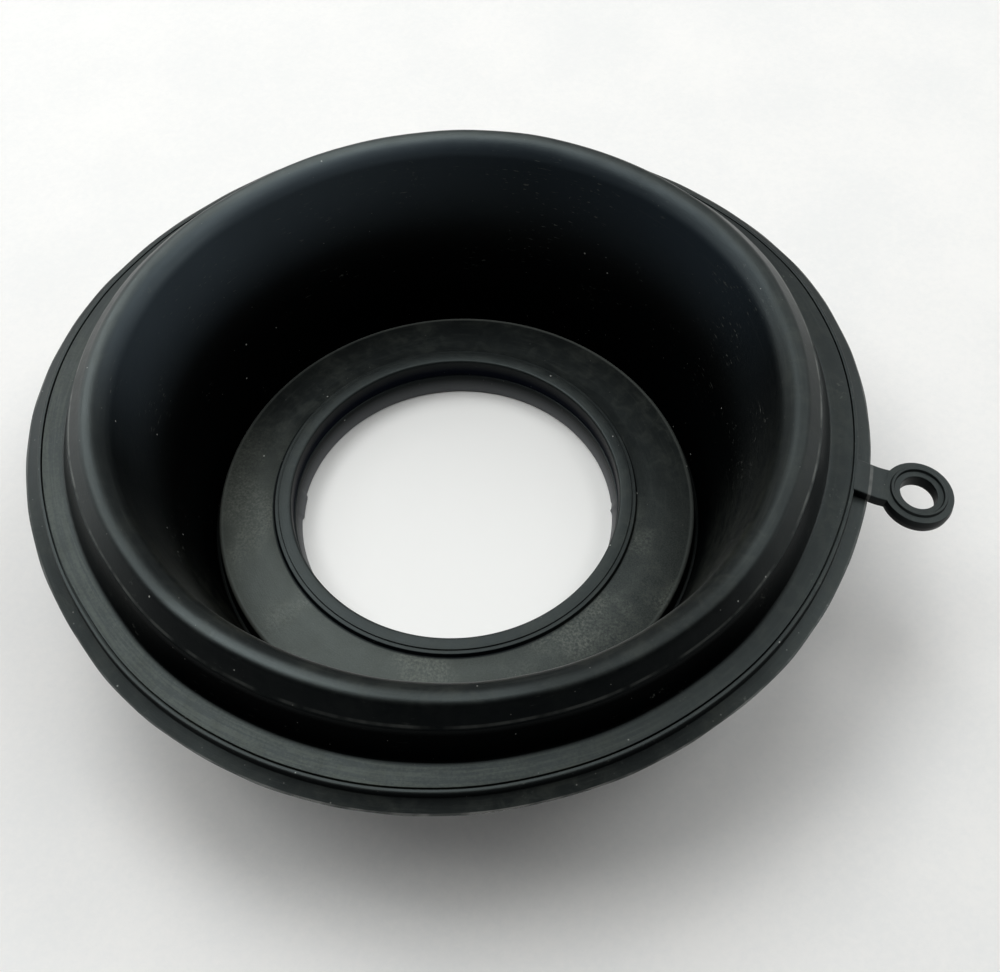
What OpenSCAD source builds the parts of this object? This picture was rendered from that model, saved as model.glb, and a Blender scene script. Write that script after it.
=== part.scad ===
// Carburettor vacuum diaphragm: one moulded rubber piece.
// A beaded flange carries a rolled convolution that hangs down to a flat disc,
// and the disc ends in a thick seal bead round the hole for the slide.
// A strap on the flange holds a small seal ring for the air port.
// The origin lies on the axis, level with the ledge inside the hole.

/* [Hole and bead] */
// Diameter of the hole above its ledge
bore_d = 38.5; // [36:0.5:41]
// Height of the bead from its resting face to its top
bead_h = 5.4; // [4.8:0.1:6.5]
// Width of the flat top of the bead
bead_w = 1.5; // [1.2:0.1:2]
// Width of the lower strip outside the bead's flat top
bead_strip_w = 0.45; // [0.35:0.05:0.6]
// Step down from the bead's top to that strip
bead_step = 0.2; // [0.15:0.05:0.3]
// Draft of the bead's outer side, from the strip out to its foot
bead_side_w = 0.15; // [0.1:0.05:0.3]
// Height of the bead's flat top above the disc
bead_rise = 0.7; // [0.5:0.05:1]
// Depth of the ledge below the bead's top
ledge_depth = 2.7; // [2.2:0.1:3]
// Width of the ledge inside the hole
ledge_w = 0.15; // [0.1:0.05:0.3]
// Height at which the bevel of the lower lip starts
lip_bevel_h = 1.7; // [1.3:0.1:2]
// Reach of the lower lip into the hole, past the ledge
lip_reach = 0.45; // [0.3:0.05:0.6]

/* [Disc] */
// Outer diameter of the disc
disc_d = 56; // [54:0.5:58]
// Thickness of the disc
disc_t = 1.6; // [1.3:0.1:1.9]
// Fall of the disc's faces from the bead to its rim
disc_fall = 0.8; // [0:0.1:1]
// Rounding of the disc's upper edge
disc_edge_r = 0.5; // [0.3:0.05:0.7]
// Draft of the disc's edge, out to the bottom of the gap round it
disc_draft = 0.35; // [0.25:0.05:0.4]

/* [Convolution] */
// Thickness of the rolling wall
wall_t = 0.7; // [0.5:0.05:0.9]
// Distance from the disc's rim out to the wall, at the bottom of the gap
fold_gap = 0.75; // [0.7:0.05:1]
// Depth of that gap below the disc's rim
fold_depth = 2.2; // [1.6:0.1:2.5]
// Height of the crest above the flange
crest_h = 5.4; // [5:0.1:6.5]
// Rounding radius of the crest's inner side
crest_inner_round = 2.4; // [1.6:0.1:2.6]
// Rounding radius of the crest's outer side
crest_outer_round = 1; // [0.8:0.05:1.1]
// Width of the narrow flat on the crest, between its two roundings
crest_flat_w = 0.05; // [0.05:0.05:0.2]
// Distance from the outer shoulder in to the crest line
crest_run = 2.1; // [2:0.1:2.5]
// Height of the outer shoulder above the flange
shoulder_h = 3.7; // [3.2:0.1:4]
// Distance from the foot of the outer wall in to its shoulder
shoulder_run = 1.4; // [1.2:0.1:1.8]
// Rounding radius of the outer shoulder
shoulder_round = 0.8; // [0.5:0.1:1]
// Rounding radius of the outer wall's foot
foot_round = 0.3; // [0.2:0.05:0.6]

/* [Flange] */
// Outer diameter of the flange, at its parting edge
flange_d = 88; // [84:0.5:92]
// Height of the flange's top above the bead's resting face
flange_h = 22.5; // [18:0.5:26]
// Width of the flat band, from the foot of the outer wall to the groove
band_w = 2.3; // [1.8:0.1:2.6]
// Thickness of the flat band
flange_t = 1; // [0.8:0.1:1.2]
// Width of the stepped lip outside the rib
lip_w = 1.4; // [1.2:0.1:1.6]
// Drop from the rib to the stepped lip
lip_drop = 1; // [0.7:0.1:1.2]
// Fall of the lip's top towards the parting edge
lip_fall = 0.4; // [0.1:0.05:0.6]
// Thickness of the flange's rim bead
rim_t = 2.7; // [2.3:0.1:3]
// Width of the narrow rib inside the lip
rib_w = 0.35; // [0.3:0.05:0.5]
// Width of the fine groove inside the rib
groove_w = 0.15; // [0.1:0.05:0.25]
// Depth of the fine groove
groove_depth = 0.4; // [0.2:0.05:0.5]

/* [Tab] */
// Distance from the parting edge to the centre of the seal ring
tab_reach = 5.1; // [4.9:0.1:8]
// Width of the strap
strap_w = 3.8; // [3:0.1:4.5]
// Thickness of the strap
strap_t = 1.3; // [1:0.05:1.5]
// Diameter of the seal ring's top face
ring_d = 7.2; // [6.9:0.1:8]
// Thickness of the seal ring
ring_t = 1.6; // [1.4:0.1:2]
// Swell of the ring's side at its parting line, half way down
ring_swell = 0.1; // [0.05:0.05:0.2]
// Diameter of the sealing ridge on the ring, over its top
ridge_d = 5.7; // [5.4:0.05:6.2]
// Width of the ridge's top
ridge_w = 0.25; // [0.2:0.05:0.4]
// Height of the ridge above the ring
ridge_rise = 0.3; // [0.1:0.05:0.4]
// Diameter of the port through the ring
port_d = 3.8; // [3.4:0.1:4.4]

/* [Hidden] */
$fn = 96;
rubber = [0.17, 0.18, 0.185];

// Small roundings that the mould leaves
soft_r = 0.3;
fine_r = 0.1;
// Rounding radius at the bottom of the gap, which leaves a short flat there
fold_r = (fold_gap - disc_draft) * 0.37;
// Largest turn between two points on an arc
arc_step = 15;

bore_r = bore_d / 2;
ledge_r = bore_r - ledge_w;
ledge_z = bead_h - ledge_depth;
lip_r = ledge_r - lip_reach;
bead_strip_r = bore_r + bead_w + bead_strip_w;
bead_foot_r = bead_strip_r + bead_side_w;
bead_foot_z = bead_h - bead_rise;
disc_r = disc_d / 2;
disc_rim_z = bead_foot_z - disc_fall;
fold_z = disc_rim_z - fold_depth;
flange_r = flange_d / 2;
rib_outer_r = flange_r - lip_w;
rib_inner_r = rib_outer_r - rib_w;
band_outer_r = rib_inner_r - groove_w;
wall_foot_r = band_outer_r - band_w;
shoulder_r = wall_foot_r - shoulder_run;
crest_line_r = shoulder_r - crest_run;
crest_z = flange_h + crest_h;
lip_z = flange_h - lip_drop;
band_under_z = flange_h - flange_t;
rim_bottom_z = flange_h - rim_t;

function unit(v) = v / norm(v);
function side(v) = [-v[1], v[0]];
function cross2(u, v) = u[0] * v[1] - u[1] * v[0];
function heading(v) = atan2(v[1], v[0]);
function flat(corner) = [corner[0], corner[1]];

// Point where the line from p along u meets the line from q along v
function meet(p, u, q, v) = p + u * cross2(q - p, v) / cross2(u, v);

// Point at height z on the line from p past a circle of radius r round c, which it touches;
// a negative r takes the line past the circle's other side
function touch(p, c, r, z) =
    let (angle = heading(c - p) + asin(r / norm(c - p)))
    meet(p, [cos(angle), sin(angle)], [0, z], [1, 0]);

// Arc of radius r in place of the corner p between a and b
function corner_arc(a, p, b, r) =
    let (
        u = unit(a - p),
        v = unit(b - p),
        half = acos(u * v) / 2,
        c = p + unit(u + v) * r / sin(half),
        start = heading(p + u * r / tan(half) - c),
        turn = 180 - 2 * half,
        way = cross2(u, v) > 0 ? -1 : 1,
        steps = ceil(turn / arc_step)
    )
    [for (i = [0:steps])
        c + r * [cos(start + way * turn * i / steps), sin(start + way * turn * i / steps)]];

// Closed outline through corners [x, z, radius], each rounded by its own radius
function rounded(corners) =
    let (n = len(corners))
    [for (i = [0:n - 1])
        let (
            before = flat(corners[(i + n - 1) % n]),
            here = flat(corners[i]),
            after = flat(corners[(i + 1) % n])
        )
        each corners[i][2] > 0 ? corner_arc(before, here, after, corners[i][2]) : [here]];

// Inner corners of a path, moved by t to its right, with radii that keep the wall even
function shifted(path, t) =
    [for (i = [1:len(path) - 2])
        let (
            u = unit(flat(path[i]) - flat(path[i - 1])),
            v = unit(flat(path[i + 1]) - flat(path[i])),
            away = -unit(side(u) + side(v)),
            moved = flat(path[i]) - away * t / (away * side(u)),
            turn = cross2(u, v) > 0 ? 1 : -1
        )
        [moved[0], moved[1], path[i][2] + turn * t]];

// Upper face of the rolling wall, from the disc's edge to the flange's flat band
fold_corner = [disc_r + fold_gap, fold_z];
shoulder = [shoulder_r, flange_h + shoulder_h];
foot = [wall_foot_r, flange_h];
inner_centre = [crest_line_r, crest_z - crest_inner_round];
outer_centre = [crest_line_r + crest_flat_w, crest_z - crest_outer_round];
crest_inner = touch(fold_corner, inner_centre, crest_inner_round, crest_z);
crest_outer = touch(shoulder, outer_centre, -crest_outer_round, crest_z);
wall_path = [
    [disc_r + disc_draft, fold_z, 0],
    [fold_corner[0], fold_corner[1], fold_r],
    [crest_inner[0], crest_inner[1], crest_inner_round],
    [crest_outer[0], crest_outer[1], crest_outer_round],
    [shoulder[0], shoulder[1], shoulder_round],
    [foot[0], foot[1], foot_round],
    [band_outer_r, flange_h, 0]
];
wall_over = [for (i = [1:5]) wall_path[i]];

// Lower face of the wall, whose foot runs out at the underside of the flat band
wall_under = shifted(wall_path, wall_t);
foot_under = meet(flat(wall_under[3]), foot - shoulder, [0, band_under_z], [1, 0]);
under_path = [
    [foot_under[0], foot_under[1], foot_round + flange_t],
    wall_under[3],
    wall_under[2],
    wall_under[1],
    wall_under[0]
];

bore_corners = [
    [lip_r + fine_r, 0, fine_r],
    [lip_r, soft_r, 0],
    [ledge_r, lip_bevel_h, 0],
    [ledge_r, ledge_z, 0],
    [bore_r, ledge_z, 0],
    [bore_r, bead_h, soft_r]
];
disc_corners = [
    [bore_r + bead_w, bead_h, fine_r],
    [bore_r + bead_w, bead_h - bead_step, 0],
    [bead_strip_r, bead_h - bead_step, fine_r],
    [bead_foot_r, bead_foot_z, fine_r],
    [disc_r, disc_rim_z, disc_edge_r],
    [disc_r + disc_draft, fold_z, fold_r]
];
rim_corners = [
    [band_outer_r, flange_h, 0],
    [band_outer_r + groove_w / 3, flange_h - groove_depth, 0],
    [rib_inner_r, flange_h - groove_depth, 0],
    [rib_inner_r, flange_h, 0],
    [rib_outer_r, flange_h, fine_r],
    [rib_outer_r + fine_r, lip_z, fine_r],
    [flange_r, lip_z - lip_fall, 0],
    [flange_r - fine_r, rim_bottom_z, 3 * soft_r],
    [band_outer_r + soft_r, rim_bottom_z, 2 * soft_r],
    [band_outer_r, band_under_z, soft_r]
];
under_corners = [
    [disc_r + disc_draft - wall_t, fold_z - wall_t, soft_r],
    [disc_r - wall_t, disc_rim_z - disc_t, soft_r],
    [bead_foot_r, bead_foot_z - disc_t, soft_r],
    [bead_foot_r - soft_r, 0, soft_r]
];
section = rounded(concat(
    bore_corners, disc_corners, wall_over, rim_corners, under_path, under_corners
));

// Bead, disc, rolling wall and flange, revolved from one section
module body() {
    rotate_extrude($fn = 180)
        polygon(section);
}

// Half outline of the seal ring before its port is cut, top face at z = 0
ring_r = ring_d / 2;
ridge_r = ridge_d / 2;
ring_outline = [
    [0, -ring_t],
    [ring_r, -ring_t],
    [ring_r + ring_swell, -ring_t / 2],
    [ring_r, 0],
    [ridge_r + fine_r, 0],
    [ridge_r, ridge_rise],
    [ridge_r - ridge_w, ridge_rise],
    [ridge_r - ridge_w - fine_r, 0],
    [0, 0]
];

// Strap and seal ring, seen from the ring's centre
module tab() {
    rib_centre = rib_outer_r - rib_w / 2;
    strap_l = flange_r + tab_reach - rib_centre;
    difference() {
        union() {
            translate([-strap_l, -strap_w / 2, -strap_t])
                cube([strap_l, strap_w, strap_t]);
            rotate_extrude()
                polygon(ring_outline);
        }
        translate([0, 0, -2 * ring_t])
            cylinder(d = port_d, h = 3 * ring_t);
    }
}

module diaphragm() {
    color(rubber)
        translate([0, 0, -ledge_z]) {
            body();
            translate([flange_r + tab_reach, 0, flange_h])
                tab();
        }
}

diaphragm();
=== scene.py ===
import math

import bmesh
import bpy
import numpy as np
from mathutils import Matrix, Vector


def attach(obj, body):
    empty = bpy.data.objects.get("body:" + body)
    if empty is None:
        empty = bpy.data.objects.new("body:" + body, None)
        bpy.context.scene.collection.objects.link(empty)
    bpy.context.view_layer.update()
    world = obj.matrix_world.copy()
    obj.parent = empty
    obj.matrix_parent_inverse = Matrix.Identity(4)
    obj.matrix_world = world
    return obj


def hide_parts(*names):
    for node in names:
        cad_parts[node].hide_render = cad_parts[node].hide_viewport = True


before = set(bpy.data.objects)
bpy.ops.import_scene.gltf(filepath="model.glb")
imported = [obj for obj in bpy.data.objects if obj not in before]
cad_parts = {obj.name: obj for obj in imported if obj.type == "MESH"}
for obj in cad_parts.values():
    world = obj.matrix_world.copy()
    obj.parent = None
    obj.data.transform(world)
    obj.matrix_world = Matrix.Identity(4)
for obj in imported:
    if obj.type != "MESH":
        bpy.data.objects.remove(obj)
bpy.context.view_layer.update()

MM = 0.001

# Camera
IMAGE_W = 1000
FOCAL_PX = 1267.24
CAM_AZIMUTH = math.radians(-74.68)
CAM_ELEVATION = 0.98773
CAM_ROLL = 0.03312
AXIS_IN_CAMERA = (-5.149, 1.416, 150.0)
DISC_RIM_Z = 1.2


def vec(*a):
    return np.array(a, float)


def make_camera():
    ce, se = math.cos(CAM_ELEVATION), math.sin(CAM_ELEVATION)
    ca, sa = math.cos(CAM_AZIMUTH), math.sin(CAM_AZIMUTH)
    ahead = -vec(ca * ce, sa * ce, se)
    level_right = vec(-sa, ca, 0)
    level_down = np.cross(ahead, level_right)
    cr, sr = math.cos(CAM_ROLL), math.sin(CAM_ROLL)
    right = cr * level_right + sr * level_down
    down = cr * level_down - sr * level_right
    tx, ty, tz = AXIS_IN_CAMERA
    place = -(right * tx + down * ty + ahead * tz) + vec(0, 0, DISC_RIM_Z)
    data = bpy.data.cameras.new("camera")
    data.sensor_width = 36.0
    data.lens = FOCAL_PX / IMAGE_W * data.sensor_width
    data.clip_start = 0.01
    data.clip_end = 10.0
    cam = bpy.data.objects.new("camera", data)
    bpy.context.scene.collection.objects.link(cam)
    m = Matrix(np.column_stack([right, -down, -ahead]).tolist()).to_4x4()
    m.translation = Vector((place * MM).tolist())
    cam.matrix_world = m
    bpy.context.scene.camera = cam


make_camera()

# Section
# Sizes in mm, as in the part's source; z = 0 is the bead's resting face here
BORE_R = 19.25
BEAD_H = 5.4
BEAD_W = 1.5
STRIP_W = 0.45
BEAD_STEP = 0.2
BEAD_SIDE_W = 0.15
BEAD_RISE = 0.7
LEDGE_Z = 2.7
LEDGE_R = BORE_R - 0.15
LIP_BEVEL_H = 1.7
LIP_R = LEDGE_R - 0.45
DISC_R = 28.0
DISC_T = 1.6
DISC_FALL = 0.8
DISC_EDGE_R = 0.5
DISC_DRAFT = 0.35
WALL_T = 0.7
FOLD_GAP = 0.75
FOLD_DEPTH = 2.2
CREST_H = 5.4
CREST_INNER_ROUND = 2.4
CREST_OUTER_ROUND = 1.0
CREST_FLAT_W = 0.05
CREST_RUN = 2.1
SHOULDER_H = 3.7
SHOULDER_RUN = 1.4
SHOULDER_ROUND = 0.8
FOOT_ROUND = 0.3
FLANGE_R = 44.0
FLANGE_H = 22.5
BAND_W = 2.3
FLANGE_T = 1.0
LIP_W = 1.4
LIP_DROP = 1.0
LIP_FALL = 0.4
RIM_T = 2.7
RIB_W = 0.35
GROOVE_W = 0.15
GROOVE_DEPTH = 0.4
SOFT_R = 0.3
FINE_R = 0.1

STRIP_R = BORE_R + BEAD_W + STRIP_W
BEAD_FOOT_R = STRIP_R + BEAD_SIDE_W
BEAD_FOOT_Z = BEAD_H - BEAD_RISE
DISC_Z = BEAD_FOOT_Z - DISC_FALL
FOLD_Z = DISC_Z - FOLD_DEPTH
RIB_OUTER_R = FLANGE_R - LIP_W
RIB_INNER_R = RIB_OUTER_R - RIB_W
BAND_OUTER_R = RIB_INNER_R - GROOVE_W
WALL_FOOT_R = BAND_OUTER_R - BAND_W
SHOULDER_R = WALL_FOOT_R - SHOULDER_RUN
CREST_LINE_R = SHOULDER_R - CREST_RUN
CREST_Z = FLANGE_H + CREST_H
LIP_Z = FLANGE_H - LIP_DROP
PARTING_Z = LIP_Z - LIP_FALL
BAND_UNDER_Z = FLANGE_H - FLANGE_T
RIM_BOTTOM_Z = FLANGE_H - RIM_T
FOLD_R = (FOLD_GAP - DISC_DRAFT) * 0.37

# Fine lines that the mould leaves, as width and height
SEAM_W = 0.16
SEAM_H = 0.05
FLASH_W = 0.09


def unit(v):
    return v / np.linalg.norm(v)


def side(v):
    return vec(-v[1], v[0])


def cross2(u, v):
    return u[0] * v[1] - u[1] * v[0]


def meet(p, u, q, v):
    return p + u * cross2(q - p, v) / cross2(u, v)


def heading(v):
    return math.atan2(v[1], v[0])


def touch(p, c, r, z):
    """Point at height z on the line from p that touches the circle round c, on its far side for r < 0."""
    angle = heading(c - p) + math.asin(r / np.linalg.norm(c - p))
    return meet(p, vec(math.cos(angle), math.sin(angle)), vec(0, z), vec(1, 0))


def arc_step(r):
    """Largest turn between two points of an arc of radius r, finer for the larger arcs."""
    return math.radians(8 if r > 0.6 else 14 if r > 0.25 else 24 if r > 0.08 else 32)


def corner_arc(a, p, b, r):
    u, v = unit(a - p), unit(b - p)
    half = math.acos(max(-1, min(1, float(u @ v)))) / 2
    c = p + unit(u + v) * r / math.sin(half)
    start = heading(p + u * r / math.tan(half) - c)
    turn = math.pi - 2 * half
    way = -1 if cross2(u, v) > 0 else 1
    n = max(1, math.ceil(turn / arc_step(r)))
    return [c + r * vec(math.cos(start + way * turn * i / n), math.sin(start + way * turn * i / n))
            for i in range(n + 1)]


def rounded(corners):
    out = []
    n = len(corners)
    for i, (x, z, r) in enumerate(corners):
        here = vec(x, z)
        if r > 0:
            out += corner_arc(vec(*corners[i - 1][:2]), here, vec(*corners[(i + 1) % n][:2]), r)
        else:
            out.append(here)
    return out


def shifted(path, t):
    out = []
    for i in range(1, len(path) - 1):
        here = vec(*path[i][:2])
        u = unit(here - vec(*path[i - 1][:2]))
        v = unit(vec(*path[i + 1][:2]) - here)
        away = -unit(side(u) + side(v))
        moved = here - away * t / (away @ side(u))
        out.append((moved[0], moved[1], path[i][2] + (1 if cross2(u, v) > 0 else -1) * t))
    return out


def section_corners():
    fold = vec(DISC_R + FOLD_GAP, FOLD_Z)
    shoulder = vec(SHOULDER_R, FLANGE_H + SHOULDER_H)
    foot = vec(WALL_FOOT_R, FLANGE_H)
    inner_centre = vec(CREST_LINE_R, CREST_Z - CREST_INNER_ROUND)
    outer_centre = vec(CREST_LINE_R + CREST_FLAT_W, CREST_Z - CREST_OUTER_ROUND)
    inner = touch(fold, inner_centre, CREST_INNER_ROUND, CREST_Z)
    outer = touch(shoulder, outer_centre, -CREST_OUTER_ROUND, CREST_Z)
    path = [(DISC_R + DISC_DRAFT, FOLD_Z, 0), (*fold, FOLD_R), (*inner, CREST_INNER_ROUND),
            (*outer, CREST_OUTER_ROUND), (*shoulder, SHOULDER_ROUND), (*foot, FOOT_ROUND),
            (BAND_OUTER_R, FLANGE_H, 0)]
    under = shifted(path, WALL_T)
    foot_under = meet(vec(*under[3][:2]), foot - shoulder, vec(0, BAND_UNDER_Z), vec(1, 0))
    return [
        (LIP_R + FINE_R, 0, FINE_R),
        (LIP_R, SOFT_R, FINE_R),
        (LEDGE_R, LIP_BEVEL_H, 0.2),
        (LEDGE_R, LEDGE_Z, 0.03),
        (BORE_R, LEDGE_Z, 0.03),
        (BORE_R, BEAD_H, SOFT_R),
        (BORE_R + BEAD_W, BEAD_H, 0.07),
        (BORE_R + BEAD_W, BEAD_H - BEAD_STEP, 0.04),
        (STRIP_R, BEAD_H - BEAD_STEP, FINE_R),
        (BEAD_FOOT_R, BEAD_FOOT_Z, FINE_R),
        (DISC_R, DISC_Z, DISC_EDGE_R),
        (DISC_R + DISC_DRAFT, FOLD_Z, FOLD_R),
        *path[1:6],
        (BAND_OUTER_R, FLANGE_H, 0.03),
        (BAND_OUTER_R + GROOVE_W / 3, FLANGE_H - GROOVE_DEPTH, 0),
        (RIB_INNER_R, FLANGE_H - GROOVE_DEPTH, 0),
        (RIB_INNER_R, FLANGE_H, 0.06),
        (RIB_OUTER_R, FLANGE_H, FINE_R),
        (RIB_OUTER_R + FINE_R, LIP_Z, FINE_R),
        (FLANGE_R, PARTING_Z + FLASH_W / 2, 0),
        (FLANGE_R + FLASH_W, PARTING_Z, 0),
        (FLANGE_R, PARTING_Z - FLASH_W / 2, 0),
        (FLANGE_R - FINE_R, RIM_BOTTOM_Z, 3 * SOFT_R),
        (BAND_OUTER_R + SOFT_R, RIM_BOTTOM_Z, 2 * SOFT_R),
        (BAND_OUTER_R, BAND_UNDER_Z, SOFT_R),
        (*foot_under, FOOT_ROUND + FLANGE_T),
        under[3], under[2], under[1], under[0],
        (DISC_R + DISC_DRAFT - WALL_T, FOLD_Z - WALL_T, SOFT_R),
        (DISC_R - WALL_T, DISC_Z - DISC_T, SOFT_R),
        (BEAD_FOOT_R, BEAD_FOOT_Z - DISC_T, SOFT_R),
        (BEAD_FOOT_R - SOFT_R, 0, SOFT_R),
    ]


def refined(points, longest):
    out = []
    n = len(points)
    for i, p in enumerate(points):
        q = points[(i + 1) % n]
        k = max(1, math.ceil(np.linalg.norm(q - p) / longest))
        out += [p + (q - p) * j / k for j in range(k)]
    return out


def with_seam(points, at, width, height):
    """A fine raised line across the outline where it passes nearest to the point at."""
    n = len(points)
    best = None
    for i in range(n):
        p, q = points[i], points[(i + 1) % n]
        if np.linalg.norm(q - p) < 1e-9:
            continue
        k = np.clip((at - p) @ (q - p) / ((q - p) @ (q - p)), 0, 1)
        d = np.linalg.norm(p + (q - p) * k - at)
        if best is None or d < best[0]:
            best = (d, i, k)
    i, k = best[1:]
    p, q = points[i], points[(i + 1) % n]
    along = unit(q - p)
    mid = p + (q - p) * k
    out = [(mid - along * width / 2), mid + side(along) * height, (mid + along * width / 2)]
    keep = [x for x in points if np.linalg.norm(x - mid) > width * 0.6]
    where = min(range(len(keep)), key=lambda j: abs((keep[j] - p) @ along) + np.linalg.norm(keep[j] - p))
    if (keep[where] - mid) @ along < 0:
        where += 1
    return keep[:where] + out + keep[where:]


# Free shape
# How the soft flange stands off its true form: waves round the axis, height in mm, angle of a top in degrees
WAVES = ((1, 0.23, 314), (2, 0.91, 10), (3, 0.24, 78), (4, 0.44, 24))
# How far the crest sways outwards, in mm, and its waves in the same way
SWAY_MEAN = 0.07
SWAY = ((1, 0.14, 37), (2, 0.07, 8), (3, 0.30, 77), (4, 0.07, 50), (5, 0.02, 10), (6, 0.03, 30))
# Where the hole and its bead lie off the axis of the free shape, in mm
HOLE_SHIFT = (-0.14, 0.17)
HOLE_FADE = 4.0
rng = np.random.default_rng(62)
# Small unevenness of the rim: wave number, height phase, radial phase, and its size in mm
RIPPLES = [(k, rng.uniform(0, 2 * math.pi), rng.uniform(0, 2 * math.pi)) for k in (5, 7, 9, 12, 16, 21, 27)]
RIPPLE_UP = 0.16
RIPPLE_OUT = 0.20
RIPPLE_RISE = 18.0
# Flash at the hole's lower lip, on the left, and a small step on the right: angle, half width, reach
NUBS = ((190.7, 4.8, 0.22), (14.0, 0.9, 0.18), (16.6, 0.5, -0.10))
NUB_RISE = 1.2
NUB_FADE = 0.5


def waves(table, t):
    return sum(height * np.cos(k * (t - math.radians(top))) for k, height, top in table)


def smooth(x):
    x = np.clip(x, 0, 1)
    return x * x * (3 - 2 * x)


def near_hole(r):
    """1 at the bead, falling to 0 on the disc: the share of the hole's shift."""
    return 1 - smooth((r - BEAD_FOOT_R) / HOLE_FADE)


def lift(r, z, t):
    """How far a point of the true form stands up, in mm: all of the warp at the flange, none at the disc."""
    u = np.clip((r - CREST_LINE_R) / (WALL_FOOT_R - CREST_LINE_R), 0, 1)
    h = np.clip((z + LEDGE_Z - BEAD_H) / (CREST_Z - BEAD_H), 0, 1)
    share = 0.5 * (h + (1 - h) * smooth(3 * u)) + 0.5 * u ** 1.4
    return share * waves(WAVES, t)


def sway(r, z, t):
    """How far a point of the true form moves outwards, in mm: all of the sway at the crest."""
    h = np.clip((z + LEDGE_Z - BEAD_H) / (CREST_Z - BEAD_H) / 0.95, 0, 1)
    u = np.clip((r - CREST_LINE_R) / (WALL_FOOT_R - CREST_LINE_R), 0, 1)
    outside = (1 - 0.6 * u) * (1 - smooth((r - WALL_FOOT_R) / BAND_W))
    share = np.where(r < CREST_LINE_R, h ** 1.6, outside)
    return share * (SWAY_MEAN + waves(SWAY, t))


def ripple(z, t):
    """Small unevenness of a point of the true form, upwards and outwards, in mm."""
    high = smooth((z + LEDGE_Z - BEAD_H) / RIPPLE_RISE)
    up = sum(np.cos(k * t + a) / k for k, a, _ in RIPPLES) * RIPPLE_UP * high
    out = sum(np.cos(k * t + b) / k for k, _, b in RIPPLES) * RIPPLE_OUT * high
    return up, out


def flash_growth(t):
    """Uneven growth of the flash along the rim, as a share of its width."""
    grow = 0.8 + 0.4 * np.cos(5 * t + 1.0) + 0.4 * np.cos(13 * t) * np.cos(29 * t + 2)
    return np.clip(grow, -0.8, 1.4)


def nubs(r, z, t):
    """How far a point of the hole's lower lip stands inwards, in mm."""
    low = smooth((LIP_BEVEL_H - (z + LEDGE_Z)) / NUB_RISE) * (r < LEDGE_R - 0.05)
    reach_in = np.zeros_like(t)
    for centre, half, reach in NUBS:
        d = np.abs((np.degrees(t) - centre + 180) % 360 - 180)
        reach_in += smooth((half - d) / NUB_FADE + 0.5) * low * reach
    return reach_in


def free_shape(co):
    """The true form's points, bent as the soft part lies."""
    x, y, z = co.T
    r = np.hypot(x, y)
    t = np.arctan2(y, x)
    up, out_r = ripple(z, t)
    flash = np.clip(r - FLANGE_R, 0, 1) * flash_growth(t)
    r2 = r + out_r + sway(r, z, t) + flash - nubs(r, z, t)
    out = co.copy()
    out[:, 0] = r2 * np.cos(t) + near_hole(r) * HOLE_SHIFT[0]
    out[:, 1] = r2 * np.sin(t) + near_hole(r) * HOLE_SHIFT[1]
    out[:, 2] += lift(r, z, t) + up
    return out


# Body
SEGMENTS = 360
RING_SEGMENTS = 112
LONGEST_STEP = 1.7
SHARP_ANGLE = 38
# Rounds in which the true place of a vertex is worked back from its free place
INVERSE_STEPS = 4


def ring_mesh(points, segments):
    """Closed outline [x, z] in mm turned round the Z axis: vertices in mm, and quads."""
    points = np.array(points)
    t = np.arange(segments) * 2 * math.pi / segments
    n = len(points)
    co = np.empty((segments, n, 3))
    co[:, :, 0] = np.cos(t)[:, None] * points[:, 0]
    co[:, :, 1] = np.sin(t)[:, None] * points[:, 0]
    co[:, :, 2] = points[:, 1]
    i, j = np.meshgrid(np.arange(segments), np.arange(n), indexing="ij")
    i2, j2 = (i + 1) % segments, (j + 1) % n
    quads = np.stack([i * n + j, i2 * n + j, i2 * n + j2, i * n + j2], -1).reshape(-1, 4)
    return co.reshape(-1, 3), quads


def new_mesh(name, co, faces):
    me = bpy.data.meshes.new(name)
    me.from_pydata((co * MM).tolist(), [], [list(map(int, f)) for f in faces])
    me.update()
    o = bpy.data.objects.new(name, me)
    bpy.context.scene.collection.objects.link(o)
    return o


# Radius and height of the seam lines
SHOULDER_SEAM = vec(SHOULDER_R - 0.16, FLANGE_H + SHOULDER_H - 0.1)
WALL_SEAM = vec(34.1, 24.7)


def make_body():
    outline = refined(rounded(section_corners()), LONGEST_STEP)
    outline = with_seam(outline, SHOULDER_SEAM, SEAM_W, SEAM_H)
    outline = with_seam(outline, WALL_SEAM, SEAM_W, SEAM_H / 2)
    pts = np.array(outline)
    pts[:, 1] -= LEDGE_Z
    co, quads = ring_mesh(pts, SEGMENTS)
    print("profile points", len(pts), "quads", len(quads))
    return new_mesh("diaphragm_moulding", free_shape(co), quads)


# Tab
TAB_REACH = 5.1
STRAP_W = 3.8
STRAP_T = 1.3
RING_R = 3.6
RING_T = 1.6
RING_SWELL = 0.1
RIDGE_R = 2.85
RIDGE_W = 0.25
RIDGE_RISE = 0.3
PORT_R = 1.9
RING_X = FLANGE_R + TAB_REACH
TOP_Z = FLANGE_H - LEDGE_Z
RING_Z = 19.4
RING_SLOPE = -0.099
STRAP_START_SLOPE = -0.2
EDGE_R = 0.08
STRAP_EDGE_R = 0.12
TAB_STEP = 0.5
STRAP_STEPS = 22


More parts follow.
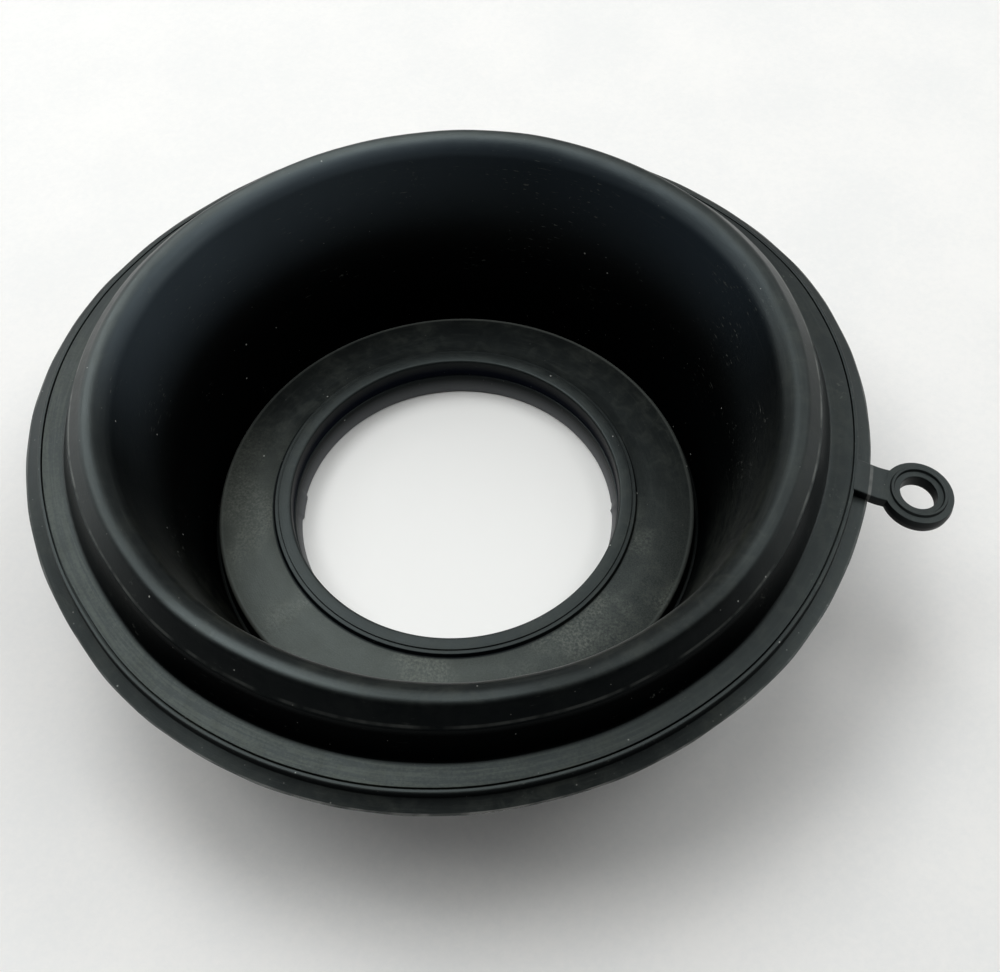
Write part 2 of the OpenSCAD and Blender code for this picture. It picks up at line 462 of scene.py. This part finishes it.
def tab_drop(x):
    """Height of the strap's and ring's top face along X, in mm: it hangs a little from the rib."""
    x0 = RIB_OUTER_R - RIB_W / 2
    z0 = TOP_Z + float(lift(vec(RIB_OUTER_R), vec(TOP_Z), vec(0))[0])
    s0 = STRAP_START_SLOPE
    x1 = RING_X - RING_R
    z1, s1 = RING_Z - RING_SLOPE * RING_R, RING_SLOPE
    k = np.clip((x - x0) / (x1 - x0), 0, 1)
    d = x1 - x0
    curve = ((2 * k**3 - 3 * k**2 + 1) * z0 + (k**3 - 2 * k**2 + k) * d * s0
             + (-2 * k**3 + 3 * k**2) * z1 + (k**3 - k**2) * d * s1)
    return np.where(x > x1, z1 + (x - x1) * s1, curve)


def make_tab():
    """The seal ring and the strap that joins it to the rim."""
    corners = [
        (PORT_R, -RING_T, EDGE_R), (RING_R - 0.02, -RING_T, 0.15), (RING_R + RING_SWELL, -RING_T / 2, 0.05),
        (RING_R, 0, 0.06), (RIDGE_R + FINE_R, 0, 0.04), (RIDGE_R, RIDGE_RISE, 0.06),
        (RIDGE_R - RIDGE_W, RIDGE_RISE, 0.06), (RIDGE_R - RIDGE_W - FINE_R, 0, 0.04),
        (PORT_R, 0, EDGE_R),
    ]
    pts = refined(rounded(corners), TAB_STEP)
    co, quads = ring_mesh(pts, RING_SEGMENTS)
    co[:, 0] += RING_X
    co[:, 2] += tab_drop(co[:, 0])
    ring = new_mesh("ring", co, quads)
    # Strap: a rounded bar from inside the rim to inside the ring
    w, f = STRAP_W / 2, STRAP_EDGE_R
    bar = refined(rounded([(-w, -STRAP_T, f), (w, -STRAP_T, f), (w, -0.01, f), (-w, -0.01, f)]), TAB_STEP)
    xs = np.linspace(RIB_OUTER_R - 0.1, RING_X - PORT_R - 0.35, STRAP_STEPS)
    co = np.array([[x, p[0], p[1] + tab_drop(vec(x))[0]] for x in xs for p in bar])
    n = len(bar)
    faces = [[i * n + j, i * n + (j + 1) % n, (i + 1) * n + (j + 1) % n, (i + 1) * n + j]
             for i in range(len(xs) - 1) for j in range(n)]
    faces += [list(range(n))[::-1], list(range((len(xs) - 1) * n, len(xs) * n))]
    strap = new_mesh("strap", co, faces)
    return ring, strap


def united(base, *others):
    for o in others:
        m = base.modifiers.new("union", "BOOLEAN")
        m.operation = "UNION"
        m.solver = "EXACT"
        m.object = o
    dg = bpy.context.evaluated_depsgraph_get()
    me = bpy.data.meshes.new_from_object(base.evaluated_get(dg))
    base.modifiers.clear()
    base.data = me
    for o in others:
        bpy.data.objects.remove(o)
    return base


def true_places(me):
    """Radius and height of each vertex in the true form, in mm, kept for the shader."""
    co = np.empty(len(me.vertices) * 3, np.float32)
    me.vertices.foreach_get("co", co)
    x, y, z = co.reshape(-1, 3).T.astype(float) / MM
    hole = near_hole(np.hypot(x, y))
    far = np.hypot(x - hole * HOLE_SHIFT[0], y - hole * HOLE_SHIFT[1])
    t = np.arctan2(y, x)
    r, high = far.copy(), z.copy()
    for _ in range(INVERSE_STEPS):
        up, out = ripple(high, t)
        r, high = far - out - sway(r, high, t), z - up - lift(r, high, t)
    for name, value in (("true_r", r), ("true_z", high + LEDGE_Z)):
        a = me.attributes.new(name, "FLOAT", "POINT")
        a.data.foreach_set("value", value.astype(np.float32))


piece = united(make_body(), *make_tab())
bm = bmesh.new()
bm.from_mesh(piece.data)
bmesh.ops.recalc_face_normals(bm, faces=bm.faces)
bm.to_mesh(piece.data)
bm.free()
true_places(piece.data)
piece.data.shade_smooth()
piece.data.set_sharp_from_angle(angle=math.radians(SHARP_ANGLE))
print("faces", len(piece.data.polygons), "tris", sum(len(p.vertices) - 2 for p in piece.data.polygons))


# Shader tools
class Graph:
    """Short names for the shader nodes of one material."""

    def __init__(self, owner, shader="Principled BSDF"):
        owner.use_nodes = True
        self.tree = owner.node_tree
        self.bsdf = self.tree.nodes[shader]

    def node(self, kind, **props):
        n = self.tree.nodes.new(kind)
        for k, v in props.items():
            setattr(n, k, v)
        return n

    def put(self, socket, value):
        if isinstance(value, bpy.types.NodeSocket):
            self.tree.links.new(value, socket)
        elif isinstance(value, tuple) and len(value) == 3 and socket.type == "RGBA":
            socket.default_value = (*value, 1)
        else:
            socket.default_value = value

    def math(self, op, *values):
        n = self.node("ShaderNodeMath", operation=op)
        for socket, value in zip(n.inputs, values):
            self.put(socket, value)
        return n.outputs[0]

    def times(self, a, b):
        return self.math("MULTIPLY", a, b)

    def plus(self, a, b):
        return self.math("ADD", a, b)

    def fitted(self, x, factor, start):
        """start + factor * x"""
        return self.math("MULTIPLY_ADD", x, factor, start)

    def band(self, x, lo, hi, a=0.0, b=1.0):
        """a below lo, b above hi, and a smooth step between them."""
        n = self.node("ShaderNodeMapRange", interpolation_type="SMOOTHSTEP")
        self.put(n.inputs["Value"], x)
        for k, v in (("From Min", lo), ("From Max", hi), ("To Min", a), ("To Max", b)):
            self.put(n.inputs[k], v)
        return n.outputs["Result"]

    def falls(self, x, lo, hi):
        """1 below lo, 0 above hi."""
        return self.band(x, lo, hi, 1.0, 0.0)

    def between(self, x, start, full, still, end):
        """0 below start and above end, 1 from full to still."""
        return self.times(self.band(x, start, full), self.falls(x, still, end))

    def near(self, x, at, width):
        """1 where x is at, falling to 0 at width away."""
        gap = self.math("ABSOLUTE", self.math("SUBTRACT", x, at))
        return self.falls(gap, width * 0.3, width)

    def rest_of(self, mask, share=1.0):
        """1 outside the mask, and less by share inside it."""
        return self.fitted(mask, -share, 1.0)

    def blend(self, a, b, share):
        return self.fitted(a, share, self.times(b, 1 - share))

    def all_of(self, *masks):
        """Product of the masks."""
        out = masks[0]
        for mask in masks[1:]:
            out = self.times(out, mask)
        return out

    def laid(self, base, colour, share, *masks):
        """The colour laid over base where all the masks are 1, at most by share."""
        amount = self.all_of(*masks)
        return self.mix(amount if share == 1 else self.times(amount, share), base, colour)

    def mix(self, k, a, b):
        n = self.node("ShaderNodeMix", data_type="RGBA")
        self.put(n.inputs[0], k)
        self.put(n.inputs[6], a)
        self.put(n.inputs[7], b)
        return n.outputs[2]

    def noise(self, where, scale, detail=2.0, rough=0.5, distortion=0.0):
        n = self.node("ShaderNodeTexNoise")
        self.put(n.inputs["Vector"], where)
        for k, v in (("Scale", scale), ("Detail", detail), ("Roughness", rough), ("Distortion", distortion)):
            self.put(n.inputs[k], v)
        return n.outputs["Fac"]

    def cells(self, where, scale):
        n = self.node("ShaderNodeTexVoronoi")
        self.put(n.inputs["Vector"], where)
        self.put(n.inputs["Scale"], scale)
        return n.outputs["Distance"], n.outputs["Color"]

    def join(self, x, y, z):
        n = self.node("ShaderNodeCombineXYZ")
        for i, v in enumerate((x, y, z)):
            self.put(n.inputs[i], v)
        return n.outputs[0]

    def split(self, v):
        n = self.node("ShaderNodeSeparateXYZ")
        self.put(n.inputs[0], v)
        return n.outputs

    def bump(self, height, distance, strength=1.0, under=None):
        n = self.node("ShaderNodeBump")
        self.put(n.inputs["Height"], height)
        self.put(n.inputs["Distance"], distance)
        self.put(n.inputs["Strength"], strength)
        if under is not None:
            self.put(n.inputs["Normal"], under)
        return n.outputs["Normal"]

    def scaled(self, v, k):
        n = self.node("ShaderNodeVectorMath", operation="SCALE")
        self.put(n.inputs[0], v)
        self.put(n.inputs["Scale"], k)
        return n.outputs[0]

    def dot(self, v, w):
        n = self.node("ShaderNodeVectorMath", operation="DOT_PRODUCT")
        self.put(n.inputs[0], v)
        n.inputs[1].default_value = w
        return n.outputs["Value"]

    def attribute(self, name):
        return self.node("ShaderNodeAttribute", attribute_name=name).outputs["Fac"]


# Rubber
ROUGHNESS = 0.33
ROUGHER_STREAKS = 0.08
ROUGHER_DUST = 0.10
# Specular level on steep and on level faces, and the slopes between which it changes
GLOSS_STEEP = 0.09
GLOSS_LEVEL = 0.34
UP_LOW = 0.1
UP_HIGH = 0.8
TEAL_SHEEN = (0.84, 1.0, 1.0, 1.0)

# Linear colours of the skin, darker on steep faces as painted shade and lighter on level ones as painted
# light, of what lies on it, of painted shade, sheen, highlights and reflection, and of its lines
SKIN_STEEP_SHADED = (0.0012, 0.0018, 0.0023)
SKIN_LEVEL_LIT = (0.0060, 0.0072, 0.0074)
CLOUDED = (0.0105, 0.0125, 0.0120)
BLOOM = (0.045, 0.049, 0.041)
DISC_DUST = (0.060, 0.068, 0.060)
# Painted light on the side of the disc that the far wall does not shade
DISC_LIT_SIDE = (0.075, 0.082, 0.068)
DISC_PATCH = (0.15, 0.16, 0.135)
BAND_DUST = (0.062, 0.070, 0.054)
STREAKED = (0.034, 0.038, 0.033)
# Painted shade in the well, on the shaded side's outer wall and slope, on the bore and at the bead's foot,
# then a painted reflection of the pale floor on the hole's lower bevel
WELL_SHADE_BLACK = (0.0002, 0.0003, 0.0003)
SHADED_OUTER_WALL = (0.0, 0.0001, 0.0002)
SHADED_SLOPE = (0.0004, 0.0007, 0.0010)
BORE_SHADE = (0.0010, 0.0022, 0.0070)
BEAD_FOOT_SHADE = (0.0008, 0.0018, 0.0040)
BEVEL_FLOOR_REFLECTION = (0.150, 0.155, 0.162)
WELL_DUST = (0.024, 0.025, 0.019)
WELL_SMEAR = (0.017, 0.019, 0.015)
# Painted bluish sheen on the upper part of the well's wall
WALL_SHEEN = (0.016, 0.023, 0.030)
WALL_SHEEN_PALE = (0.040, 0.052, 0.062)
# Seam lines, partly painted glints, a painted highlight on the disc's rounded edge, and the parting line
SHOULDER_SEAM_AND_GLINT = (0.12, 0.126, 0.118)
WALL_SEAM_AND_GLINT = (0.05, 0.053, 0.05)
RIM_HIGHLIGHT = (0.095, 0.105, 0.097)
PARTING_LINE = (0.14, 0.14, 0.133)
SCRATCHED = (0.090, 0.095, 0.086)
SCUFFED = (0.10, 0.105, 0.095)
SPECK = (0.36, 0.37, 0.35)
FINE_SPECK = (0.14, 0.14, 0.13)
LIP_SPECK = (0.20, 0.20, 0.19)


class Rubber(Graph):
    """The rubber's shader: masks for parts and sides, then colour, gloss and skin."""

    def __init__(self, owner):
        super().__init__(owner)
        self.place = self.scaled(self.node("ShaderNodeTexCoord").outputs["Object"], 1 / MM)
        x, y, _ = self.split(self.place)
        self.r = self.attribute("true_r")
        self.h = self.attribute("true_z")
        face_x, face_y, self.up = self.split(self.node("ShaderNodeNewGeometry").outputs["Normal"])
        self.turn_x = self.math("DIVIDE", x, self.r)
        self.turn_y = self.math("DIVIDE", y, self.r)
        self.turn = self.join(self.turn_x, self.turn_y, 0.0)
        outward = self.fitted(face_x, self.turn_x, self.times(face_y, self.turn_y))
        self.inner = self.falls(outward, 0.0, 0.5)
        self.level = self.band(self.up, 0.45, 0.98)
        self.slope = self.band(self.up, 0.05, 0.75)
        self.find_patterns()
        self.find_parts()
        self.find_sides()

    def around(self, k, across):
        """Place that changes slowly round the axis and fast across the section."""
        return self.join(self.times(self.turn_x, k), self.times(self.turn_y, k),
                         self.times(self.fitted(self.h, 0.8, self.r), across))

    def toward(self, angle, start, full):
        """1 on the side of the axis that lies at the angle in degrees, 0 on the other side."""
        way = (math.cos(math.radians(angle)), math.sin(math.radians(angle)), 0)
        return self.band(self.dot(self.turn, way), start, full)

    def find_patterns(self):
        self.cloud = self.noise(self.place, 0.09, 3.0, 0.55)
        self.mottle = self.noise(self.place, 0.55, 5.0, 0.62, 0.6)
        self.grain = self.noise(self.place, 3.2, 4.0, 0.65)
        self.streak = self.noise(self.around(6.0, 3.4), 1.0, 3.0, 0.6)
        self.dust = self.all_of(self.band(self.mottle, 0.40, 0.70), self.band(self.cloud, 0.28, 0.60),
                                self.fitted(self.grain, 0.9, 0.35))
        self.broken = self.band(self.noise(self.around(9.0, 0.3), 1.0, 3.0, 0.7), 0.38, 0.62)

    def find_parts(self):
        """Masks for parts of the section, by radius and height in the true form."""
        r, h = self.r, self.h
        self.on_disc = self.between(r, BEAD_FOOT_R - 0.15, BEAD_FOOT_R + 0.25, DISC_R - 0.1, DISC_R + 0.1)
        self.on_band = self.between(r, WALL_FOOT_R, WALL_FOOT_R + 0.6, BAND_OUTER_R, RIB_INNER_R)
        self.on_lip = self.band(r, RIB_OUTER_R, RIB_OUTER_R + FINE_R)
        self.on_crest = self.times(self.near(r, CREST_LINE_R - 0.15, 1.3),
                                   self.band(h, CREST_Z - 1.6, CREST_Z - 0.4))
        self.on_flank = self.times(
            self.between(r, CREST_LINE_R - 2.3, CREST_LINE_R - 1.9, CREST_LINE_R - 1.1, CREST_LINE_R - 0.4),
            self.band(h, CREST_Z - 2.9, CREST_Z - 1.4))
        self.on_slope = self.times(
            self.between(r, CREST_LINE_R + 0.05, CREST_LINE_R + 0.65, SHOULDER_R - 0.2, SHOULDER_R + 0.3),
            self.band(h, CREST_Z - 3.9, CREST_Z - 2.9))
        self.on_outer = self.between(r, SHOULDER_R - 0.3, SHOULDER_R + 0.3, WALL_FOOT_R, WALL_FOOT_R + 0.5)
        self.in_well = self.times(
            self.between(r, DISC_R + 0.05, DISC_R + 0.2, CREST_LINE_R - 2.4, CREST_LINE_R - 1.2), self.inner)
        self.on_bore = self.times(self.falls(r, BORE_R + 0.15, BORE_R + 0.25),
                                  self.between(h, LEDGE_Z - 0.1, LEDGE_Z + 0.2, LEDGE_Z + 0.7, BEAD_H - 0.3))
        self.on_bevel = self.times(self.falls(r, LEDGE_R + 0.05, LEDGE_R + 0.15),
                                   self.falls(h, 0.2, LEDGE_Z - 0.3))

    def find_sides(self):
        """Masks for sides of the object and its hollows: the side with painted light and dust, the side with
        painted shade and dust, and painted shade low in the well and at the bead's foot.
        """
        # Side with painted light and dust on the disc, and dust on the band
        self.lit_and_dusty_side = self.toward(243, 0.1, 0.95)
        self.dusty_wide = self.math("MAXIMUM", self.lit_and_dusty_side, self.toward(319, 0.3, 0.95))
        # Side with painted shade on the outer wall and slope, and with dust in the well
        self.shaded_and_dusty_side = self.toward(285, 0.25, 0.80)
        # Painted shade low in the well, less on one side
        self.well_shade = self.all_of(self.in_well, self.falls(self.h, 12.0, 23.0),
                                self.rest_of(self.toward(325, 0.70, 0.97), 0.6))
        # Painted shade in the crease at the bead's foot, on one side
        self.bead_foot_shade = self.times(self.near(self.r, BEAD_FOOT_R, 0.30), self.toward(235, -0.20, 0.50))

    def bare(self):
        """Skin with painted shade on steep faces and painted light on level ones, bloom and dust on the
        faces that look up, and painted light on the disc's lit side.
        """
        # Painted shade and light: steep faces darker, level faces lighter
        base = self.mix(self.slope, SKIN_STEEP_SHADED, SKIN_LEVEL_LIT)
        base = self.laid(base, CLOUDED, 1.0, self.level, self.band(self.cloud, 0.25, 0.7))
        base = self.laid(base, BLOOM, 0.40, self.level, self.dust)
        sand = self.band(self.noise(self.place, 6.5, 4.0, 0.7), 0.25, 0.75)
        base = self.laid(base, DISC_DUST, 0.55, self.on_disc, self.dusty_wide, sand)
        # Painted light: the disc lighter on one side, where the far wall does not shade it
        base = self.laid(base, DISC_LIT_SIDE, 0.42, self.on_disc, self.lit_and_dusty_side)
        base = self.laid(base, DISC_PATCH, 0.60, self.on_disc, self.dusty_wide,
                         self.band(self.cloud, 0.46, 0.60), self.band(self.grain, 0.34, 0.74))
        lanes = self.band(self.blend(self.streak, self.grain, 0.6), 0.40, 0.62)
        base = self.laid(base, BAND_DUST, 0.60, self.on_band, self.lit_and_dusty_side, lanes)
        return self.laid(base, STREAKED, 0.22, self.slope, self.band(self.streak, 0.52, 0.72))

    def painted_shade_and_reflection(self, base):
        """Painted shade low in the well, on the bore, at the bead's foot and on the outer wall and slope of
        the shaded side, and a painted reflection of the pale floor on the hole's lower bevel.
        """
        # Painted shade in the well, darker towards the bottom
        base = self.laid(base, WELL_SHADE_BLACK, 0.80, self.well_shade)
        # Painted shade on the outer wall and the slope of the side away from the lamps
        base = self.laid(base, SHADED_OUTER_WALL, 0.95, self.on_outer, self.shaded_and_dusty_side)
        base = self.laid(base, SHADED_SLOPE, 0.75, self.on_slope, self.shaded_and_dusty_side)
        # Painted shade on the bore's wall, between the ledge and the bead's top
        base = self.laid(base, BORE_SHADE, 0.90, self.on_bore)
        # Painted shade at the bead's foot
        base = self.laid(base, BEAD_FOOT_SHADE, 0.80, self.bead_foot_shade)
        # Painted reflection of the pale floor: the hole's lower bevel lighter
        return self.laid(base, BEVEL_FLOOR_REFLECTION, 0.85, self.on_bevel)

    def dust_and_wall_sheen(self, base):
        """Dust on the well's wall, and a painted bluish sheen on its upper part."""
        base = self.laid(base, WELL_DUST, 0.75, self.in_well, self.shaded_and_dusty_side, self.band(self.mottle, 0.30, 0.75))
        smear = self.band(self.blend(self.mottle, self.streak, 0.55), 0.38, 0.62)
        base = self.laid(base, WELL_SMEAR, 0.60, self.in_well, self.toward(326, 0.66, 0.98), smear,
                         self.band(self.h, 3.0, 9.0))
        upper_wall = self.all_of(self.between(self.r, 30.0, 31.0, 35.0, 36.0), self.inner,
                                 self.band(self.h, 15.0, 26.0))
        # Painted sheen: the upper wall bluish on one side, paler on another
        base = self.laid(base, WALL_SHEEN, 0.80, upper_wall, self.toward(105, -0.10, 0.60))
        uneven = self.fitted(self.cloud, 0.4, 0.75)
        return self.laid(base, WALL_SHEEN_PALE, 0.90, upper_wall, self.toward(148, 0.45, 0.98), uneven)

    def lined(self, base):
        """Pale lines along the mould's seams, those on the shoulder and wall partly painted glints, and a
        painted highlight at the disc's edge.
        """
        r, h = self.r, self.h
        # Shoulder seam: a pale line, partly a painted glint, stronger away from the shaded side
        shoulder = self.times(self.near(r, SHOULDER_SEAM[0], 0.14), self.band(h, 24.5, 25.0))
        share = self.fitted(self.rest_of(self.shaded_and_dusty_side), 0.55, 0.22)
        base = self.laid(base, SHOULDER_SEAM_AND_GLINT, share, shoulder, self.broken)
        # Wall seam: a pale line, partly a painted glint, left out on one side
        wall = self.times(self.near(h, WALL_SEAM[1], 0.10), self.between(r, 33.6, 33.8, 34.4, 34.6))
        wall = self.times(wall, self.rest_of(self.toward(258, 0.75, 0.95), 0.9))
        base = self.laid(base, WALL_SEAM_AND_GLINT, 0.35, wall, self.broken)
        # Painted highlight on the disc's rounded edge, strongest on one side
        rim = self.times(self.near(r, DISC_R - 0.25, 0.35), self.near(h, DISC_Z - 0.05, 0.40))
        share = self.fitted(self.toward(95, 0.20, 0.90), 0.35, 0.38)
        base = self.laid(base, RIM_HIGHLIGHT, share, rim)
        at_edge = self.between(r, FLANGE_R - 0.03, FLANGE_R + 0.01, FLANGE_R + 0.25, FLANGE_R + 0.4)
        parting = self.times(at_edge, self.band(h, 20.4, 20.8))
        return self.laid(base, PARTING_LINE, self.fitted(self.broken, 0.50, 0.15), parting)

    def worn(self, base):
        """Fine scratches that follow the wall, and scuffs."""
        along = self.join(self.times(self.turn_x, 26.0), self.times(self.turn_y, 26.0),
                          self.times(self.h, 5.5))
        scratch = self.all_of(self.band(self.noise(along, 1.0, 2.0, 0.6), 0.66, 0.72),
                              self.band(self.noise(self.place, 0.13, 2.0), 0.50, 0.62),
                              self.band(self.h, 8.0, 14.0), self.plus(0.15, self.in_well))
        base = self.laid(base, SCRATCHED, 0.65, scratch)
        scuff = self.times(self.band(self.noise(self.place, 0.21, 2.0), 0.62, 0.70),
                           self.band(self.noise(self.place, 2.4, 3.0, 0.7), 0.58, 0.66))
        return self.laid(base, SCUFFED, 0.35, scuff, self.band(self.h, 8.0, 16.0))

    def specks(self, scale, size, soft, channel, chance):
        """Small round spots: one in some of the cells of a random pattern."""
        gap, tint = self.cells(self.place, scale)
        chosen = self.math("GREATER_THAN", self.split(tint)[channel], chance)
        return self.times(self.falls(gap, size, soft), chosen)

    def speckled(self, base):
        base = self.laid(base, SPECK, 0.85, self.specks(0.42, 0.022, 0.055, 0, 0.55))
        base = self.laid(base, FINE_SPECK, 0.55, self.specks(1.3, 0.05, 0.10, 1, 0.88))
        return self.laid(base, LIP_SPECK, 0.50, self.specks(0.9, 0.04, 0.09, 2, 0.72), self.on_lip)

    def set_colour(self):
        base = self.bare()
        for layer in (self.painted_shade_and_reflection, self.dust_and_wall_sheen, self.lined, self.worn, self.speckled):
            base = layer(base)
        self.put(self.bsdf.inputs["Base Color"], base)

    def set_gloss(self):
        rough = self.fitted(self.plus(self.mottle, self.streak), ROUGHER_STREAKS, ROUGHNESS)
        rough = self.fitted(self.times(self.level, self.dust), ROUGHER_DUST, rough)
        self.put(self.bsdf.inputs["Roughness"], rough)
        gloss = self.band(self.up, UP_LOW, UP_HIGH, GLOSS_STEEP, GLOSS_LEVEL)
        gloss = self.times(gloss, self.fitted(self.plus(self.streak, self.cloud), 0.12, 0.88))
        # Factor of the gloss, and the masks where it holds
        for factor, *masks in (
                (0.08, self.well_shade),
                (0.05, self.on_outer, self.shaded_and_dusty_side),
                (0.22, self.on_slope, self.shaded_and_dusty_side),
                (0.60, self.on_slope, self.toward(2, 0.87, 0.99)),
                (0.75, self.on_slope, self.toward(182, 0.90, 0.99)),
                (0.12, self.on_bore),
                (0.30, self.bead_foot_shade),
                (0.33, self.on_lip, self.toward(293, 0.70, 0.97)),
                (0.75, self.on_lip, self.toward(232, 0.92, 0.99)),
                (0.80, self.on_band, self.toward(345, 0.30, 0.80)),
                (0.55, self.on_flank, self.toward(285, -0.55, 0.30)),
                (0.62, self.on_flank, self.toward(235, 0.10, 0.70)),
                (0.65, self.on_flank, self.toward(345, 0.75, 0.95)),
                (2.1, self.on_crest, self.toward(145, 0.15, 0.90)),
                (1.7, self.on_crest, self.toward(257, 0.93, 0.99)),
                (0.6, self.on_crest, self.toward(314, 0.93, 0.99)),
                (0.62, self.on_disc, self.band(self.r, 22.5, 26.5), self.rest_of(self.lit_and_dusty_side))):
            gloss = self.times(gloss, self.rest_of(self.all_of(*masks), 1 - factor))
        self.put(self.bsdf.inputs["Specular IOR Level"], gloss)
        self.bsdf.inputs["Specular Tint"].default_value = TEAL_SHEEN

    def set_skin(self):
        """Relief, in metres: slow unevenness, streaks round the axis and a fine grain."""
        normal = self.bump(self.noise(self.place, 0.35, 2.0), 0.00010, 0.5)
        normal = self.bump(self.noise(self.around(14.0, 11.0), 1.0, 2.0, 0.6), 0.000012, 0.6, normal)
        normal = self.bump(self.noise(self.place, 5.5, 3.0, 0.6), 0.000016, 0.7, normal)
        self.put(self.bsdf.inputs["Normal"], normal)


def make_rubber():
    mat = bpy.data.materials.new("rubber")
    g = Rubber(mat)
    g.set_colour()
    g.set_gloss()
    g.set_skin()
    return mat


piece.data.materials.clear()
piece.data.materials.append(make_rubber())

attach(piece, "root")
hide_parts("diaphragm")


# Stage
def seen(g):
    """1 for the rays that show the background, straight or in a reflection; 0 for those that light."""
    path = g.node("ShaderNodeLightPath").outputs
    either = g.math("MAXIMUM", path["Is Glossy Ray"], path["Is Transmission Ray"])
    return g.math("MAXIMUM", path["Is Camera Ray"], either)


# Half the floor's side, and the stretch over which its far part starts to glow, in mm
FLOOR_HALF = 6000.0
GLOW_START = 150.0
GLOW_FULL = 800.0
PAPER_DULL = (0.80, 0.81, 0.80)
PAPER_PALE = (0.86, 0.86, 0.84)
# Painted light on the floor under the hole, against the shade of the walls
PAPER_LIT_IN_HOLE = (0.94, 0.95, 0.93)
FAR_GLOW = (0.52, 0.525, 0.515, 1.0)


def make_floor():
    s = FLOOR_HALF
    corners = np.array([[x, y, -LEDGE_Z] for x, y in ((-s, -s), (s, -s), (s, s), (-s, s))])
    o = new_mesh("floor", corners, [[0, 1, 2, 3]])
    m = bpy.data.materials.new("floor")
    g = Graph(m)
    place = g.scaled(g.node("ShaderNodeTexCoord").outputs["Object"], 1 / MM)
    grain = g.noise(place, 1.3, 4.0, 0.7)
    blot = g.noise(place, 0.06, 3.0)
    paper = g.mix(g.band(g.blend(grain, blot, 0.5), 0.3, 0.7), PAPER_DULL, PAPER_PALE)
    x, y, _ = g.split(place)
    from_axis = g.math("SQRT", g.plus(g.times(x, x), g.times(y, y)))
    # Painted light: the floor under the hole is paler, against the walls' shade
    g.put(g.bsdf.inputs["Base Color"], g.laid(paper, PAPER_LIT_IN_HOLE, 1.0, g.falls(from_axis, 17.0, 26.0)))
    g.put(g.bsdf.inputs["Roughness"], g.band(grain, 0.2, 0.8, 0.5, 0.7))
    # Far off, where the lamps fade, the floor stays as pale as it is near the object
    g.put(g.bsdf.inputs["Emission Strength"], g.times(g.band(from_axis, GLOW_START, GLOW_FULL), seen(g)))
    g.bsdf.inputs["Emission Color"].default_value = FAR_GLOW
    # Only seen rays meet the glow, so no lamp rays are spent on it, nor on the world
    m.cycles.emission_sampling = "NONE"
    o.data.materials.append(m)


make_floor()


ROOM = (0.97, 0.98, 0.98, 1)
ROOM_LIGHT = 0.04
BACKDROP = 0.80


def make_world():
    world = bpy.data.worlds.new("world")
    bpy.context.scene.world = world
    world.use_nodes = True
    world.cycles.sampling_method = "NONE"
    g = Graph(world, "Background")
    g.bsdf.inputs["Color"].default_value = ROOM
    height = g.split(g.node("ShaderNodeTexCoord").outputs["Generated"])[2]
    backdrop = g.times(g.band(height, 0.12, 0.30, BACKDROP, 0.0), seen(g))
    g.put(g.bsdf.inputs["Strength"], g.plus(ROOM_LIGHT, backdrop))


# Factor of all lamps, so that the pale floor stays below white
LAMPS = 0.96
# Name, azimuth and elevation in degrees, power in watts
LIGHTS = (
    ("key", 190, 60, 1.36),
    ("back_left", 160, 60, 0.74),
    ("back", 130, 60, 1.05),
    ("right", 20, 60, 1.08),
    ("top", 105, 78, 0.98),
    ("back_low", 130, 42, 0.92),
    ("back_right", 80, 42, 0.46),
    ("right_low", 50, 42, 0.74),
    ("back_left_low", 160, 42, 0.11),
    ("low_right", 20, 22, 0.93),
    ("low_back_right", 50, 22, 0.19),
    ("low_back_left", 160, 22, 0.90),
    ("low_left", 190, 22, 0.56),
    ("front_right", 340, 60, 0.13),
)


def soft_light(name, az, el, power, size=0.36, dist=0.8):
    data = bpy.data.lights.new(name, "AREA")
    data.shape = "DISK"
    data.size = size
    data.energy = power * LAMPS
    o = bpy.data.objects.new(name, data)
    bpy.context.scene.collection.objects.link(o)
    a, e = math.radians(az), math.radians(el)
    back = Vector((math.cos(a) * math.cos(e), math.sin(a) * math.cos(e), math.sin(e)))
    o.location = back * dist
    o.rotation_mode = "QUATERNION"
    o.rotation_quaternion = back.to_track_quat("Z", "Y")


make_world()
for light in LIGHTS:
    soft_light(*light)

bpy.context.scene.view_settings.view_transform = "Standard"
